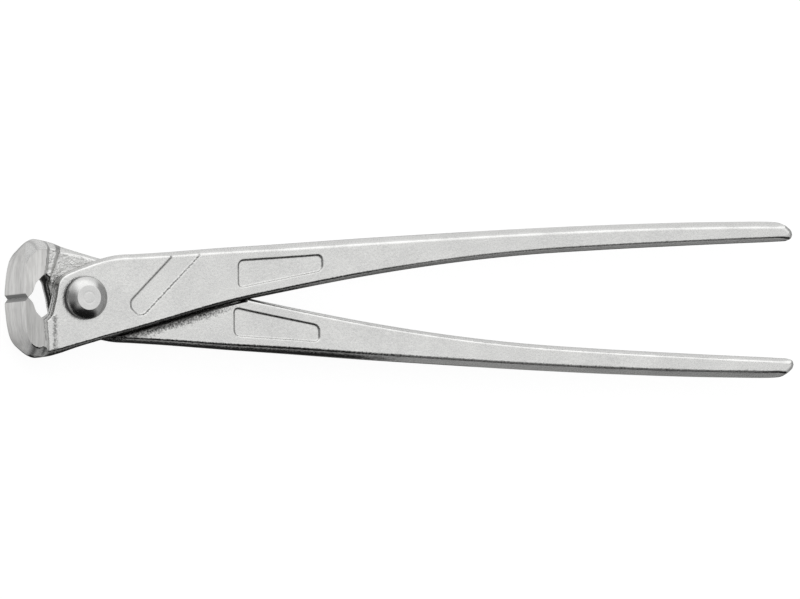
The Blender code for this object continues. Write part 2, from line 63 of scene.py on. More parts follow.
lever = dict(
    # Jaw rows from the cutting edge to the joint, in shares of the jaw's reach and of half the
    # head: lip, middle of the front, far side's outline, near side's on the front lever and on
    # the rear one. The jaws are ground once assembled, so near and far sides aren't alike.
    jawShares=[
        (0.956, 0.0004) * 5,
        (0.928, 0.030) + (1.000, 0.067) * 4,
        (0.900, 0.062, 0.996, 0.240, 0.991, 0.225, 1.000, 0.250, 0.999, 0.250),
        (0.880, 0.098, 0.985, 0.410, 0.976, 0.390, 0.992, 0.430, 0.993, 0.430),
        (0.865, 0.140, 0.965, 0.560, 0.953, 0.535, 0.975, 0.570, 0.978, 0.570),
        (0.850, 0.190, 0.930, 0.690, 0.924, 0.645, 0.950, 0.680, 0.943, 0.660),
        (0.830, 0.240, 0.885, 0.805, 0.885, 0.727, 0.915, 0.765, 0.900, 0.712),
        (0.800, 0.280, 0.841, 0.906, 0.840, 0.785, 0.870, 0.808, 0.853, 0.757),
        (0.765, 0.320, 0.797, 0.966, 0.795, 0.822, 0.825, 0.833, 0.805, 0.796),
        (0.725, 0.365, 0.729, 1.000, 0.735, 0.836, 0.770, 0.841, 0.755, 0.810),
        (0.690, 0.384, 0.655, 0.999, 0.670, 0.836, 0.715, 0.816, 0.695, 0.808),
    ],
    # Joint plate rows: edge at the hollow and the outside, then edge behind the jaw; same shares.
    plateShares=[
        (-0.640, -0.378, -0.600, -0.990),
        (-0.590, -0.357, -0.562, -0.984),
        (-0.545, -0.310, -0.520, -0.975),
        (-0.518, -0.257, -0.480, -0.965),
        (-0.491, -0.140, -0.416, -0.945),
        (-0.460, 0.000, -0.333, -0.918),
        (-0.435, 0.168, -0.244, -0.884),
        (-0.406, 0.279, -0.152, -0.849),
        (-0.323, 0.385, -0.049, -0.812),
        (-0.161, 0.475, 0.059, -0.776),
        (0.000, 0.547, 0.166, -0.742),
        (0.244, 0.648, 0.318, -0.693),
    ],
    # Handle rows: outer edge, then inner edge, in shares of the handle's reach and half the spread.
    handleShares=[
        (0.048, 0.544, 0.052, -0.462),
        (0.078, 0.561, 0.081, -0.389),
        (0.122, 0.588, 0.122, -0.279),
        (0.196, 0.643, 0.196, -0.088),
        (0.283, 0.697, 0.283, 0.084),
        (0.397, 0.773, 0.397, 0.286),
        (0.510, 0.838, 0.510, 0.447),
        (0.619, 0.897, 0.619, 0.559),
        (0.732, 0.947, 0.732, 0.630),
        (0.845, 0.983, 0.845, 0.685),
        (0.925, 0.996, 0.925, 0.719),
        (0.960, 0.999, 0.963, 0.734),
        (0.978, 0.994, 0.981, 0.743),
        (0.988, 0.974, 0.990, 0.747),
        (0.9925, 0.938, 0.9950, 0.754),
        (0.9978, 0.888, 0.9984, 0.782),
        (1.000, 0.833, 1.000, 0.833),
    ],
    # Across the jaw, in shares of half the head: back of the pad and foot of the ramp behind it,
    # on the plate's side and on the seat's side, then top and foot of the step to the seat.
    acrossShares=[0.330, 0.380, 0.476, 0.582, 0.654, 0.747, 0.800, 0.830, 0.860],
    padBackPlate=[0.726, 0.720, 0.707, 0.700, 0.687, 0.681, 0.678, 0.677, 0.676],
    rampFootPlate=[0.600, 0.594, 0.590, 0.583, 0.577, 0.571, 0.570, 0.570, 0.570],
    padBackSeat=[0.710, 0.703, 0.684, 0.669, 0.662, 0.654, 0.650, 0.647, 0.645],
    rampFootSeat=[0.603, 0.597, 0.584, 0.569, 0.560, 0.555, 0.553, 0.553, 0.553],
    stepTopSeat=[0.541, 0.535, 0.513, 0.482, 0.462, 0.434, 0.450, 0.490, 0.550],
    stepFootSeat=[0.445, 0.432, 0.398, 0.360, 0.335, 0.307, 0.294, 0.288, 0.288],
    stripEnd=-6.5 * mm,         # strip's end beside the hollow
    stripEndFall=2.0 * mm,      # width of the slope there
    plateRise=5.5 * mm,         # face over the middle plane at the joint
    tipRise=4.2 * mm,           # the same at the handle's tip
    noseBand=1.9 * mm,          # band and radius round the handle's end
    noseRound=1.7 * mm,
    noseLength=6.0 * mm,
    runningGap=0.3 * mm,
    partingRise=2.75 * mm,      # forging's widest line over the middle plane at the joint
    partingLeaves=0.06,         # shares of the handle's reach between which it moves to the middle
    partingArrives=0.20,
    outerBand=(1.5 * mm, 2.4 * mm),     # drafted and rounded edge, at the joint and past band's end
    innerBand=(1.4 * mm, 1.75 * mm),
    hollowBand=0.75 * mm,
    plateBandJaw=0.4 * mm,      # the band is wider by this behind the jaw, on the plate's side
    seatBandJaw=1.5 * mm,       # and by this on the seat's
    outerRound=(0.65 * mm, 1.05 * mm),  # radius of the rounding in that band
    innerRound=(0.60 * mm, 0.75 * mm),
    bandsGrown=0.40,            # share of the handle's reach where the bands are at full width
    jawPower=1.5,               # the outer side draws in with this power of the height
    jawRound=0.25 * mm,
    shoulderClearance=0.25 * mm,
    shoulderRound=(1.1 * mm, 0.5 * mm),     # up to the handle's face, at the joint and far end
    shoulderCloses=(38 * mm, 52 * mm),      # where the one becomes the other
    shoulderPower=5,
    # Painted shade on the dark edge, from the face round the arc and down the draft
    edgeShade=[0.10, 0.50, 0.85, 0.85, 0.75, 0.35, 0.75, 0.90, 0.90, 0.90],
    lineFar=0.62,               # share of that painted shade which the arc still has past lineEnds
    lineEnds=(70 * mm, 120 * mm),
    draftFade=35 * mm,          # over which the draft gets clean again
    valleyPlace=-9.8 * mm,      # shallow hollow along the foot of the plate's ramp
    valleyWidth=0.75 * mm,
    valleyDepth=0.10 * mm,
    panelDepth=0.60 * mm,
    panelWall=0.50 * mm,
    panelMargin=3.95 * mm,
    panelCorner=1.9 * mm,
    platePanel=(49.0 * mm, 76.5 * mm),
    seatPanel=(47.5 * mm, 75.3 * mm),
    slotEnd=(17.85 * mm, -1.85 * mm),
    slotWidth=6.5 * mm,
    slotCorner=2.7 * mm,
    slotLength=60 * mm,
    slotAngle=math.radians(45),
    groundRows=7.2,             # the ground front ends at this row of the jaw, in the middle
    boreRadius=4.3 * mm,
    boreSides=96,
    boreLength=4,               # in half thicknesses of the jaw
    sharpAngle=38,              # edges over this many degrees are shaded sharp
    # Softness of ramps, as a share of each one's width
    rampSoft=0.07,
    stepSoft=0.08,
    panelSoft=0.25,
    hollowSoft=0.2,
    hollowStart=0.68,           # share of the jaw's reach where the strip's end slope sets in
    hollowFade=0.05,            # and over which it does
    creaseWidth=0.55,           # of the painted shade line in a panel's wall, as a share of the wall
    shoulderSlope=0.3,          # of the shoulder's line
    # Pairs: a place, and the length over which something eases there
    valleyEnds=(-4.5 * mm, 2 * mm),
    valleyStarts=(-15.5 * mm, 2 * mm),
    jawLeaves=(-0.5, 2.2),      # in rows past the jaw's last
    hollowPast=(-0.41, 1.1),    # in shares of the jaw's reach
    behindJaw=(2 * mm, 12 * mm),
    jawEdge=0.06 * mm,          # band round the jaw's outside
    bandLimit=0.46,             # of the section's width
    noseQuickness=1.1,
    hollowRoundShare=0.7,       # what is left of the rounding beside the hollow
    draftPower=(2.3, 1.0),      # at the joint, and once the draft runs straight
    draftStraight=0.5,          # which is at this share of the handle's reach
    partingHighest=0.9,         # the widest line keeps under this share of the face's height
    partingOver=0.02 * mm,      # and this far over the seat
    roundLimits=(0.9, 0.98),    # largest rounding, in shares of its wall's height and width
    cornerShare=0.4,            # jaw's rounded side: first point, pull and power
    cornerPull=0.02,
    cornerPower=8,
    # Seat row: the cluster at the shoulder's foot, and the shares of points before and by its end
    clusterNear=0.3 * mm,
    clusterWide=2.0 * mm,
    clusterBounds=(0.30, 0.97),
    clusterLargest=0.9,
    clusterPoints=(0.42, 0.60),
    # Sections along the lever: an even weight, and more of them where the shape needs it
    rowSamples=9000,
    edgeSamples=3000,
    evenWeight=0.55,
    headWeight=4.2,
    headEnds=(-1 * mm, 5 * mm),
    barWeight=3.0,
    barStarts=(7 * mm, 4 * mm),
    barEnds=(56 * mm, 4 * mm),
    panelWeight=4.5,
    panelNear=2.0 * mm,
    noseWeight=5.0,
    noseStarts=(-6 * mm, 3 * mm),   # from the handle's end
    jawWeight=1.5,
    jawEnds=(-9 * mm, 3 * mm),
    stations=430,
    facePoints=80,
    seatPoints=98,
    filletPoints=6,
    draftPoints=4,
    mergeDistance=0.002 * mm,

    # Masks: how much each place holds, and its pairs, some of them in rows
    bevelRows=0.999,
    frontFade=0.15,
    padSide=(-0.05 * mm, 0.04 * mm),    # from the jaw's side
    lipRows=(9.3, 0.5),
    padShade=(0.47, 0.12),     # share of painted shade on the pads, on the plate's and the seat's side
    recessStarts=(-0.66, 0.03),     # in shares of the jaw's reach
    recessEnds=(9 * mm, 5 * mm),
    valleyRough=0.8 * mm,
    valleyRoughEnds=(-4 * mm, 2 * mm),
    # painted shade along the bottom of the valley
    valleyShade=0.42,
    wearAndHighlightRows=(3, 3),            # past the jaw's rows
    fadingShade=0.68,            # painted shade fading over the seat's side along the shoulder
    fadingWide=(4.0 * mm, 3.8 * mm),
    fadingEnds=(56 * mm, 20 * mm),
    footWide=(0.05 * mm, 0.3 * mm),
    footEnds=(52 * mm, 5 * mm),
    footBefore=(-1.2 * mm, 0.6 * mm),
    footStarts=(1 * mm, 3 * mm),
    wallShade=0.6,               # painted shade on the hollow side of the joint plate
    wallTop=(4.4 * mm, 1.8 * mm),
    wallEnds=(16 * mm, 12 * mm),
    # painted shade in the hollow's corner on the seat's side
    hollowShade=0.58,
    hollowSpot=(-6.5 * mm, -4.5 * mm),
    hollowSpread=3.2 * mm,
    crescentShade=0.9,           # painted shade under the jaw, along the pad's rounded corner
    crescentSide=(-1.7 * mm, 0.6 * mm),     # from the jaw's side
    crescentStarts=(6.0, 0.5),
    crescentEnds=(9.8, 0.8),
    keelWide=(3.2 * mm, 1.2 * mm),
    keelStarts=(7.4, 0.8),
    keelEnds=(14, 2),
    edgeStarts=(10, 1.5),
    lineStops=(-5 * mm, 10 * mm),   # from the handle's end
    # painted shade in the walls of the slot and the panels
    slotShade=0.55,
    panelShade=0.8,
    panelShadeFade=2 * mm,
)
# Column of the near side's outline in jawShares, whether that is the plate's side, by how many
# rows the grinding ends earlier there, how dark the painted shade on the jaw's outermost line is,
# the part of the section (in leverShape's order) whose edge gets painted shade, and how far its draft
# does.
leverKinds = dict(
    front=dict(nearColumn=6, nearIsPlate=True, groundFall=1.3, keelShade=0.9, shadedPart=5,
               shadeReach=95 * mm),
    rear=dict(nearColumn=8, nearIsPlate=False, groundFall=3.1, keelShade=0.0, shadedPart=2,
              shadeReach=115 * mm),
)


def splineRows(rows, places):
    # Catmull-Rom: each place takes the cubic blend of the four rows round it.
    rows = np.asarray(rows, float)
    index = np.clip(np.floor(places).astype(int), 0, len(rows) - 2)
    t = (places - index)[:, None]
    a, b, c, d = (rows[np.clip(index + k, 0, len(rows) - 1)] for k in (-1, 0, 1, 2))
    cubic = (2 * a - 5 * b + 4 * c - d) * t ** 2 + (3 * b - a - 3 * c + d) * t ** 3
    return 0.5 * (2 * b + (c - a) * t + cubic)


def ease(value):
    # 3v^2 - 2v^3 between 0 and 1, flat outside.
    value = np.clip(value, 0, 1)
    return value * value * (3 - 2 * value)


def since(value, name):
    # Eased step up at one of the lever's pairs: 0 until its place, 1 once past it by its fade.
    place, fade = lever[name]
    return ease((value - place) / fade)


def until(value, name):
    # Eased step down at such a pair: 1 until its fade before its place, 0 from the place on.
    place, fade = lever[name]
    return ease((place - value) / fade)


def softRamp(value, soft):
    # Straight ramp from 0 to 1 whose two corners are rounded over plus and minus soft.
    def corner(v):
        return np.where(v < -soft, 0, np.where(v < soft, (v + soft) ** 2 / (4 * soft), v))
    return corner(value) - corner(value - 1)


def blend(a, b, share):
    # a, moved towards b by a share of their difference.
    return a + (b - a) * share


def leverRows(kind):
    # All rows of a lever as upper edge, lower edge, outline on the plate's and the seat's side.
    jaw = -np.array(lever["jawShares"]) * np.tile([jawReach, headHalf], 5)
    far, near = jaw[:, 4:6], jaw[:, kind["nearColumn"]:kind["nearColumn"] + 2]
    sides = [near, far] if kind["nearIsPlate"] else [far, near]
    jaw = np.hstack([jaw[:, :4]] + sides)
    plate = np.array(lever["plateShares"]) * np.tile([jawReach, headHalf], 2)
    handle = np.array(lever["handleShares"]) * np.tile([handleReach, spreadHalf], 2)
    bar = np.vstack([plate, handle])
    # behind the jaw both side outlines run on along the band beside the plate's edge
    plateSide = bar[:, 2:4] + np.array([0, lever["innerBand"][0] + lever["plateBandJaw"]])
    seatSide = bar[:, 2:4] + np.array([0, lever["innerBand"][0] + lever["seatBandJaw"]])
    return np.vstack([jaw, np.hstack([bar, plateSide, seatSide])])


def leverStations(rows):
    # Places along the rows, closer where the head and the panels need it:
    # equal steps of the integral of density times path length.
    dense = np.linspace(0, len(rows) - 1, lever["rowSamples"])
    line = splineRows(rows, dense)
    step = np.abs(np.diff(line[:, :4].reshape(-1, 2, 2), axis=0))
    length = np.hypot(step[..., 0], step[..., 1]).mean(axis=1)
    x = (line[1:, 0] + line[1:, 2]) / 2
    density = lever["evenWeight"] + lever["headWeight"] * until(x, "headEnds")
    density += lever["barWeight"] * since(x, "barStarts") * until(x, "barEnds")
    ends = np.array([lever["platePanel"], lever["seatPanel"]]).ravel()
    near = np.exp(-((x[:, None] - ends) / lever["panelNear"]) ** 2)
    density += lever["panelWeight"] * near.max(axis=1)
    density += lever["noseWeight"] * since(x - handleReach, "noseStarts")
    density += lever["jawWeight"] * until(x, "jawEnds")
    measure = np.concatenate([[0], np.cumsum(length * density)])
    places = np.interp(np.linspace(0, measure[-1], lever["stations"]), measure, dense)
    places[np.argmin(np.abs(places - 1))] = 1     # a station on the front corner
    return places


def inward(line, side):
    # Unit normal of an edge line, to the left of its run for side 1, to the right for -1.
    run = np.gradient(line, axis=0)
    run /= np.maximum(np.linalg.norm(run, axis=1, keepdims=True), hair * hair)
    return side * np.stack([-run[:, 1], run[:, 0]], axis=1)


def faceRise(x):
    # Half thickness: falls evenly from the joint to the tip.
    return blend(lever["plateRise"], lever["tipRise"], np.clip(x / handleReach, 0, 1))


def boxDistance(a, b, halfA, halfB, radius):
    # Signed distance to a rectangle with round corners, a and b from its centre.
    qa, qb = np.abs(a) - halfA + radius, np.abs(b) - halfB + radius
    return np.hypot(np.maximum(qa, 0), np.maximum(qb, 0)) + np.minimum(np.maximum(qa, qb), 0) - radius


class Forging:
    # Heights of one lever over its middle plane, as functions of x and y.
    def __init__(self, upper, lower):
        self.upper, self.lower = upper, lower
        self.across = -np.array(lever["acrossShares"]) * headHalf
        self.seatFloor = lever["runningGap"] / 2

    def along(self, name, y):
        # Place along X of one of the jaw's lines at this y.
        return -np.interp(-y, -self.across, lever[name]) * jawReach

    def edge(self, line, x):
        # Y of an edge line at this x, straight between its points.
        return np.interp(x, line[:, 0], line[:, 1])

    def ramp(self, x, y, side):
        # 0 on the ground pad, 1 on the plate's face behind the ramp.
        back, foot = self.along("padBack" + side, y), self.along("rampFoot" + side, y)
        return softRamp((x - back) / (foot - back), lever["rampSoft"])

    def panel(self, x, y, span):
        # Distance to the recessed panel that follows the handle's edges.
        low = self.edge(self.lower, x) + lever["panelMargin"]
        high = self.edge(self.upper, x) - lever["panelMargin"]
        middle, half = (span[0] + span[1]) / 2, (span[1] - span[0]) / 2
        return boxDistance(x - middle, y - (low + high) / 2, half, (high - low) / 2,
                           lever["panelCorner"])

    def slot(self, x, y):
        # Distance to the slanted panel beside the rivet, open over the handle's edge.
        c, s = math.cos(lever["slotAngle"]), math.sin(lever["slotAngle"])
        dx, dy = x - lever["slotEnd"][0], y - lever["slotEnd"][1]
        half, wide = lever["slotLength"] / 2, lever["slotWidth"] / 2
        return boxDistance(dx * c + dy * s - half + wide, dy * c - dx * s, half, wide,
                           lever["slotCorner"])

    def sunk(self, distance):
        # 1 inside a panel, 0 outside, with a drafted wall along its outline.
        return 1 - softRamp(distance / lever["panelWall"] + 1, lever["panelSoft"])

    def creased(self, distance):
        # 1 along the middle of that wall, 0 away from it.
        return np.exp(-((distance / lever["panelWall"] + 0.5) / lever["creaseWidth"]) ** 2)

    def valley(self, x, y):
        # 1 along the bottom of the shallow hollow by the ramp, a bell curve across it.
        reach = until(y, "valleyEnds") * since(y, "valleyStarts")
        return np.exp(-((x - lever["valleyPlace"]) / lever["valleyWidth"]) ** 2) * reach

    def plateSide(self, x, y):
        # Face of the plate and handle, pad and ramp of the jaw, less slot, panel and valley.
        rise = blend(jawHalf, faceRise(x), self.ramp(x, y, "Plate"))
        cut = np.maximum(self.sunk(self.slot(x, y)),
                         self.sunk(self.panel(x, y, lever["platePanel"])))
        return rise - lever["panelDepth"] * cut - lever["valleyDepth"] * self.valley(x, y)

    def pastShoulder(self, x, y):
        # Distance from the shoulder's foot, growing onto the handle.
        line = lever["shoulderClearance"] - self.edge(self.lower, x)
        return (y - line) / math.hypot(1, lever["shoulderSlope"])

    def shoulder(self, x, y):
        # 0 on the seat, 1 on the handle's face: 1 - (1 - d)^power between them.
        starts, ends = lever["shoulderCloses"]
        width = blend(*lever["shoulderRound"], ease((x - starts) / (ends - starts)))
        share = np.clip(self.pastShoulder(x, y) / width, 0, 1)
        return 1 - (1 - share) ** lever["shoulderPower"]

    def seatSide(self, x, y):
        # Pad, ramp and strip of the jaw, step down to the seat, seat, shoulder and handle's face.
        strip = -blend(jawHalf, lever["plateRise"], self.ramp(x, y, "Seat"))
        top, foot = self.along("stepTopSeat", y), self.along("stepFootSeat", y)
        step = softRamp((x - top) / (foot - top), lever["stepSoft"])
        end = softRamp((y - lever["stripEnd"]) / lever["stripEndFall"], lever["stepSoft"])
        start, fade = lever["hollowStart"] * jawReach, lever["hollowFade"] * jawReach
        end = end * softRamp((x + start) / fade, lever["hollowSoft"])
        recess = np.maximum(step, end)
        head = blend(strip, self.seatFloor, recess)
        handle = -faceRise(x) + lever["panelDepth"] * self.sunk(
            self.panel(x, y, lever["seatPanel"]))
        return blend(head, handle, self.shoulder(x, y) * (x > 0))


def wallProfile(height, width, radius, belly, jawShare):
    # Relative inset and height of a wall from its top edge to the forging's widest line.
    # Forged edge: an arc of the radius, tangent to the face, then the draft, whose inset falls
    # with the power belly. Jaw: inset grows with a power of the height. jawShare mixes the two.
    ofHeight, ofWidth = lever["roundLimits"]
    radius = np.minimum(np.minimum(radius, ofHeight * height), ofWidth * width)
    reach = np.hypot(width, height - radius)
    draft = np.arctan2(width, height - radius) - np.arcsin(radius / reach)
    bend = np.linspace(0, 1, lever["filletPoints"])[None]
    turn = blend(math.pi / 2, draft[:, None], bend)
    arcIn = width[:, None] - radius[:, None] * np.cos(turn)
    arcUp = (height - radius)[:, None] + radius[:, None] * np.sin(turn)
    left = np.linspace(1, 0, lever["draftPoints"] + 1)[None, 1:]
    inset = np.hstack([arcIn, arcIn[:, -1:] * left ** belly[:, None]]) / width[:, None]
    rise = np.hstack([arcUp, arcUp[:, -1:] * left]) / height[:, None]
    count = inset.shape[1]
    sweep = np.concatenate([[1, 1 - lever["cornerShare"] * lever["jawRound"] / jawHalf],
                            np.linspace(1 - lever["jawRound"] / jawHalf, 0, count - 2)])[None]
    bulge = sweep ** lever["jawPower"]
    bulge[:, 1:] *= 1 - lever["cornerPull"] * sweep[:, 1:] ** lever["cornerPower"]
    mix = jawShare[:, None]
    return blend(inset, bulge, mix), blend(rise, sweep, mix)


def wallPoints(edge, top, topRise, midRise, radius, belly, jawShare):
    # Half a wall: from its top edge down, or up, to the widest line, as points in space.
    width = np.maximum(np.linalg.norm(top - edge, axis=1), hair)
    height = np.maximum(np.abs(topRise - midRise), hair)
    inset, rise = wallProfile(height, width, radius, belly, jawShare)
    plan = edge[:, None] + (top - edge)[:, None] * inset[..., None]
    up = midRise[:, None] + (topRise - midRise)[:, None] * rise
    return np.concatenate([plan, up[..., None]], axis=2)


def leverShape(kind):
    # Closed section rings along the lever: face row, upper wall, seat row, lower wall.
    rows = leverRows(kind)
    places = leverStations(rows)
    line = splineRows(rows, places)
    bevel = places < 1
    line[bevel] = blend(rows[0], rows[1], places[bevel][:, None])
    line[:, 0::2] = np.clip(line[:, 0::2], -jawReach, handleReach)
    upper, lower, plateOutline, seatOutline = (line[:, i:i + 2] for i in (0, 2, 4, 6))
    jawRows = len(lever["jawShares"])
    behind = splineRows(rows, np.linspace(jawRows, len(rows) - 1, lever["edgeSamples"]))
    forging = Forging(behind[:, 0:2], behind[:, 2:4])

    x = (upper[:, 0] + lower[:, 0]) / 2
    jawShare = 1 - since(places - jawRows + 1, "jawLeaves")
    jaws = jawShare[:, None]
    grown = ease(x / handleReach / lever["bandsGrown"])
    chord = np.linalg.norm(upper - lower, axis=1)
    widest = lever["bandLimit"] * chord + hair
    pastHollow = since(x / jawReach, "hollowPast")
    outerBand = blend(blend(lever["hollowBand"], lever["outerBand"][0], pastHollow),
                      lever["outerBand"][1], grown)
    outerBand = np.minimum(blend(outerBand, lever["jawEdge"], jawShare), widest)
    innerBand = np.minimum(blend(*lever["innerBand"], grown), widest)
    nose = ease(lever["noseQuickness"] * (1 - (handleReach - x) / lever["noseLength"]))
    outerBand, innerBand = (blend(band, lever["noseBand"], nose) for band in (outerBand, innerBand))
    nearJaw = until(lower[:, 0], "behindJaw")
    plateBand = innerBand + lever["plateBandJaw"] * nearJaw
    seatBand = innerBand + lever["seatBandJaw"] * nearJaw
    outerRound = blend(*lever["outerRound"], grown) * blend(lever["hollowRoundShare"], 1, pastHollow)
    innerRound = blend(*lever["innerRound"], grown)
    outerRound, innerRound = (blend(r, lever["noseRound"], nose) for r in (outerRound, innerRound))
    belly = blend(*lever["draftPower"], ease(x / handleReach / lever["draftStraight"]))
    leaves, arrives = lever["partingLeaves"], lever["partingArrives"]
    parting = lever["partingRise"] * (1 - ease((x / handleReach - leaves) / (arrives - leaves)))
    parting = parting * (1 - jawShare)

    upperIn, lowerIn = inward(upper, -1), inward(lower, 1)
    upperIn[-1] = lowerIn[-1] = (-1, 0)     # both sides meet at the handle's end
    tops = upper + upperIn * outerBand[:, None]
    faceL = blend(lower + lowerIn * plateBand[:, None], plateOutline, jaws)
    seatL = blend(lower + lowerIn * seatBand[:, None], seatOutline, jaws)
    riseU, riseL = forging.plateSide(*tops.T), forging.plateSide(*faceL.T)
    dropU, dropL = forging.seatSide(*tops.T), forging.seatSide(*seatL.T)
    parting = np.minimum(parting, np.minimum(riseU, riseL) * lever["partingHighest"])
    parting = np.maximum(parting, np.maximum(dropU, dropL) + lever["partingOver"])

    t = np.linspace(0, 1, lever["facePoints"])[None, 1:-1]
    facePlan = blend(faceL[:, None], tops[:, None], t[..., None])
    face = np.dstack([facePlan, forging.plateSide(facePlan[..., 0], facePlan[..., 1])])

    # seat row: a cluster of points follows the shoulder's foot across the section
    shoulderLine = lever["shoulderClearance"] - forging.edge(forging.lower, x)
    foot = (shoulderLine - seatL[:, 1]) / np.maximum((tops - seatL)[:, 1], hair)
    near, wide = (lever[name] / np.maximum(chord, mm) for name in ("clusterNear", "clusterWide"))
    first = np.clip(foot - near, *lever["clusterBounds"])[:, None]
    second = blend(first, 1, np.clip(wide[:, None] / (1 - first), 0, lever["clusterLargest"]))
    j = np.linspace(1, 0, lever["seatPoints"])[None, 1:-1]
    a, b = lever["clusterPoints"]
    t = np.where(j < a, j / a * first, np.where(
        j < b, blend(first, second, (j - a) / (b - a)), blend(second, 1, (j - b) / (1 - b))))
    seatPlan = blend(seatL[:, None], tops[:, None], t[..., None])
    seat = np.dstack([seatPlan, forging.seatSide(seatPlan[..., 0], seatPlan[..., 1])])

    none = np.zeros_like(x)
    halves = [wallPoints(upper, tops, riseU, parting, outerRound, belly, none),
              wallPoints(upper, tops, dropU, parting, outerRound, belly, none),
              wallPoints(lower, seatL, dropL, parting, innerRound, belly, jawShare),
              wallPoints(lower, faceL, riseL, parting, innerRound, belly, jawShare)]
    ring = [face, halves[0], halves[1][:, -2::-1], seat, halves[2], halves[3][:, -2::-1]]
    parts = np.concatenate([np.full(block.shape[1], k) for k, block in enumerate(ring)])
    arc = np.repeat([1.0, 0.0], [lever["filletPoints"], lever["draftPoints"]])
    flat = [np.zeros(block.shape[1]) for block in (face, seat)]
    arcs = np.concatenate([flat[0], arc, arc[-2::-1], flat[1], arc, arc[-2::-1]])
    edges = np.zeros(len(parts))
    edges[parts == kind["shadedPart"]] = lever["edgeShade"][-2::-1]
    ring = np.concatenate(ring, axis=1)
    return ring, leverMasks(ring, parts, arcs, edges, places, forging, kind)


def gridMesh(name, ring, masks):
    # Mesh over rings of points, closed round each ring; quads run face outwards.
    # Doubles at the cutting edge and the tip are merged, which closes both ends.
    rings, count = ring.shape[:2]
    s, k = np.meshgrid(np.arange(rings - 1), np.arange(count), indexing="ij")
    after = (k + 1) % count
    quads = np.stack([s * count + k, (s + 1) * count + k, (s + 1) * count + after,
                      s * count + after], axis=-1).reshape(-1, 4)
    mesh = bpy.data.meshes.new(name)
    mesh.from_pydata((ring.reshape(-1, 3)).tolist(), [], quads.tolist())
    for label, values in masks.items():
        layer = mesh.attributes.new(label, "FLOAT", "POINT")
        layer.data.foreach_set("value", values.astype(np.float32).ravel())
    bm = bmesh.new()
    bm.from_mesh(mesh)
    bmesh.ops.remove_doubles(bm, verts=bm.verts, dist=lever["mergeDistance"])
    bmesh.ops.dissolve_degenerate(bm, edges=bm.edges, dist=hair)
    bm.to_mesh(mesh)
    bm.free()
    return mesh


def leverMasks(ring, parts, arcs, edges, places, forging, kind):
    # ground: front, bevels and pads. Then painted shade on the bevels and part-way on both pads; wear
    # with a painted highlight on the rounded edges.
    # rough: the coarse forged floor of the recess and the valley. Last, painted shade and painted
    # shadow in corners, creases and along the dark edges.
    x, y, z = (ring[..., i] for i in range(3))
    past = forging.pastShoulder(x, y)
    row = places[:, None] + 0 * z
    walls = (parts >= 4)[None]
    lip = ((parts == 1) | (parts == 2))[None]
    frontEnds = lever["groundRows"] - kind["groundFall"] * np.abs(z) / jawHalf
    front = ease((frontEnds - row) / lever["frontFade"])
    pad = since(np.abs(z) - jawHalf, "padSide")
    ground = np.where(walls, front, pad)
    ground = np.where(lip, until(row, "lipRows"), ground)
    above, below = (parts == 0)[None], (parts == 3)[None]
    recess = below * since(x / jawReach, "recessStarts") * until(x, "recessEnds")
    valley = above * np.exp(-((x - lever["valleyPlace"]) / lever["valleyRough"]) ** 2)
    valley = valley * until(y, "valleyRoughEnds")
    # painted shade on the jaw's bevels, and part-way on both pads
    ofPlate, ofSeat = lever["padShade"]
    pads = pad * (ofPlate * above + ofSeat * below)
    bevelAndPadShade = np.maximum(walls * (row < lever["bevelRows"]), pads)
    behindJaw = row - len(lever["jawShares"])
    # rounded edges behind the jaw: wear, and with it a painted highlight
    wearAndHighlight = arcs[None] * since(behindJaw, "wearAndHighlightRows")
    # painted shadow along the shoulder: black at its foot, and a painted shade that fades out over
    # the seat's side
    fading = lever["fadingShade"] * until(past, "fadingWide") * until(x, "fadingEnds")
    foot = np.maximum(until(past, "footWide") * until(x, "footEnds"), fading)
    foot = foot * since(past, "footBefore") * since(x, "footStarts")
    foot = foot * ((parts == 2) | (parts == 3))[None]
    # painted shade on the hollow side of the joint plate
    wall = (parts == 1)[None] * until(z, "wallTop") * (behindJaw > 0)
    wall = lever["wallShade"] * wall * until(x, "wallEnds")
    # painted shade in the hollow's corner
    spotX, spotY = lever["hollowSpot"]
    hollow = np.exp(-((x - spotX) ** 2 + (y - spotY) ** 2) / lever["hollowSpread"] ** 2)
    hollow = lever["hollowShade"] * below * hollow
    # painted shade under the jaw: a crescent along the pad's rounded corner, and the outermost line
    crescent = (parts == 5)[None] * since(z - jawHalf, "crescentSide")
    crescent = crescent * since(row, "crescentStarts") * until(row, "crescentEnds")
    keel = kind["keelShade"] * walls * until(np.abs(z), "keelWide")
    keel = keel * since(row, "keelStarts") * until(row, "keelEnds")
    # painted shade along the dark edge: the arc as far as the nose, the draft for a while
    starts, ends = lever["lineEnds"]
    line = blend(lever["lineFar"], 1, ease((ends - x) / (ends - starts)))
    line = line * until(x - handleReach, "lineStops")
    draft = ease((kind["shadeReach"] - x) / lever["draftFade"])
    edge = edges[None] * since(row, "edgeStarts") * np.where(arcs[None] > 0, line, draft)
    # painted shade in the panels' walls: the one towards the outer edge, and the slanted panel's
    # whole outline
    middle = (forging.edge(forging.upper, x) + forging.edge(forging.lower, x)) / 2
    lines = [lever["slotShade"] * forging.creased(forging.slot(x, y)) * above]
    for part, span, way in ((above, "platePanel", 1), (below, "seatPanel", -1)):
        line = forging.creased(forging.panel(x, y, lever[span])) * part
        outer = ease(way * (y - middle) / lever["panelShadeFade"])
        lines.append(lever["panelShade"] * line * outer)
    # all of these are painted shade and painted shadow, near black where they are full
    shaded = [foot, wall, hollow, lever["valleyShade"] * valley, lever["crescentShade"] * crescent,
            keel, edge] + lines
    return dict(ground=ground, rough=np.maximum(recess, valley), bevelAndPadShade=bevelAndPadShade, wearAndHighlight=wearAndHighlight,
                paintedShade=np.maximum.reduce(np.broadcast_arrays(*shaded)))


def linked(name, data):
    # A new object in the scene that shows the data.
    item = bpy.data.objects.new(name, data)
    bpy.context.scene.collection.objects.link(item)
    return item


